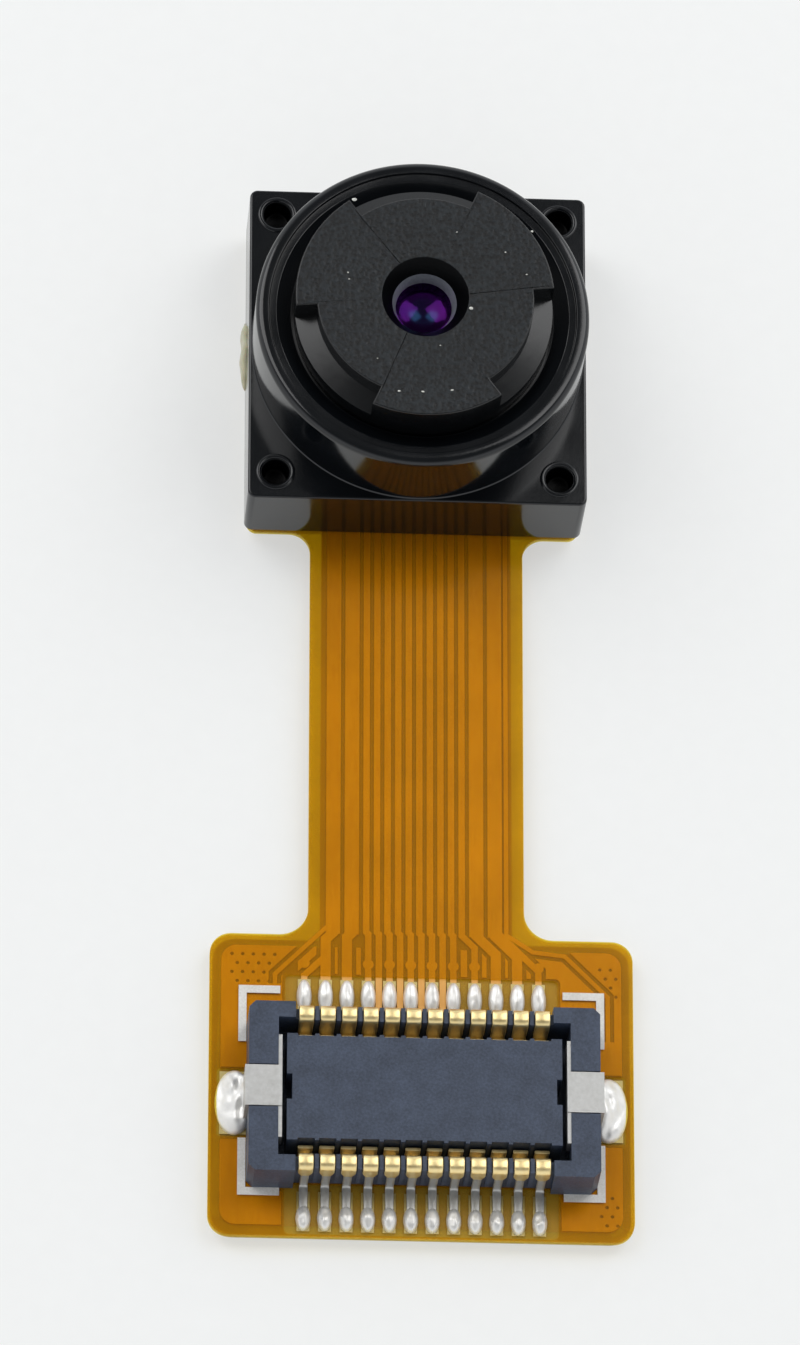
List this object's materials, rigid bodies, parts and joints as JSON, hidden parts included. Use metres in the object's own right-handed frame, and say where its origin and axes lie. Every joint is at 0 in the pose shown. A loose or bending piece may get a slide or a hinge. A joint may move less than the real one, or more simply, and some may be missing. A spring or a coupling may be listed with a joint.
{
  "type": "camera module",
  "caption": "Fixed-focus camera head in a moulded lens holder, on a short flexible printed circuit that ends in a board-to-board connector.",
  "frame": {"origin": "where the optical axis meets the plane the two stiffener plates rest on", "axes": "+Z runs out through the lens, +Y points from the connector towards the camera head, +X is to the right seen from the lens side with the head above the connector"},
  "size_m": [0.008, 0.0207, 0.0042],
  "materials": {
    "holder_resin": "glossy black moulding",
    "barrel_resin": "spark-textured black moulding",
    "inner_black": "matt black film and rings",
    "lens_resin": "clear moulded lens, coated",
    "filter_glass": "blue-green glass, coated",
    "silicon": "polished silicon",
    "ceramic": "fired ceramic",
    "black_glue": "cured black epoxy",
    "pale_glue": "cured translucent pale adhesive",
    "polyimide": "amber film",
    "cover_film": "glossy amber cover film",
    "copper": "etched copper foil",
    "gold_plate": "gold plating over nickel",
    "tin_plate": "bright tin plating",
    "solder": "reflowed solder",
    "stainless": "rolled stainless sheet",
    "glass_epoxy": "pale glass-epoxy laminate",
    "connector_resin": "slate moulding",
    "legend_ink": "white printed ink",
    "gold_wire": "drawn gold wire"
  },
  "bodies": {
    "root": {"lens_holder": "holder_resin", "lens_barrel": "barrel_resin", "front_lens": "lens_resin", "aperture_stop": "inner_black", "middle_lens": "lens_resin", "lens_spacer": "inner_black", "rear_lens": "lens_resin", "lens_retainer": "inner_black", "ir_filter": "filter_glass", "image_sensor": "silicon", "die_adhesive": "black_glue", "bond_wires": "gold_wire", "capacitors": "ceramic", "capacitor_ends": "tin_plate", "holder_adhesive": "black_glue", "glue_bead": "pale_glue", "flex_film": "polyimide", "copper_traces": "copper", "ground_plane": "copper", "coverlay": "cover_film", "back_coverlay": "cover_film", "sensor_stiffener": "stainless", "connector_stiffener": "glass_epoxy", "contact_pads": "gold_plate", "fitting_pads": "gold_plate", "legend_marks": "legend_ink", "connector_housing": "connector_resin", "fitting_left": "tin_plate", "fitting_right": "tin_plate", "solder_upper": "solder", "solder_lower": "solder", "solder_fittings": "solder", "contact_a01": "gold_plate", "contact_a02": "gold_plate", "contact_a03": "gold_plate", "contact_a04": "gold_plate", "contact_a05": "gold_plate", "contact_a06": "gold_plate", "contact_a07": "gold_plate", "contact_a08": "gold_plate", "contact_a09": "gold_plate", "contact_a10": "gold_plate", "contact_a11": "gold_plate", "contact_a12": "gold_plate", "contact_b01": "gold_plate", "contact_b02": "gold_plate", "contact_b03": "gold_plate", "contact_b04": "gold_plate", "contact_b05": "gold_plate", "contact_b06": "gold_plate", "contact_b07": "gold_plate", "contact_b08": "gold_plate", "contact_b09": "gold_plate", "contact_b10": "gold_plate", "contact_b11": "gold_plate", "contact_b12": "gold_plate"}
  },
  "joints": []
}
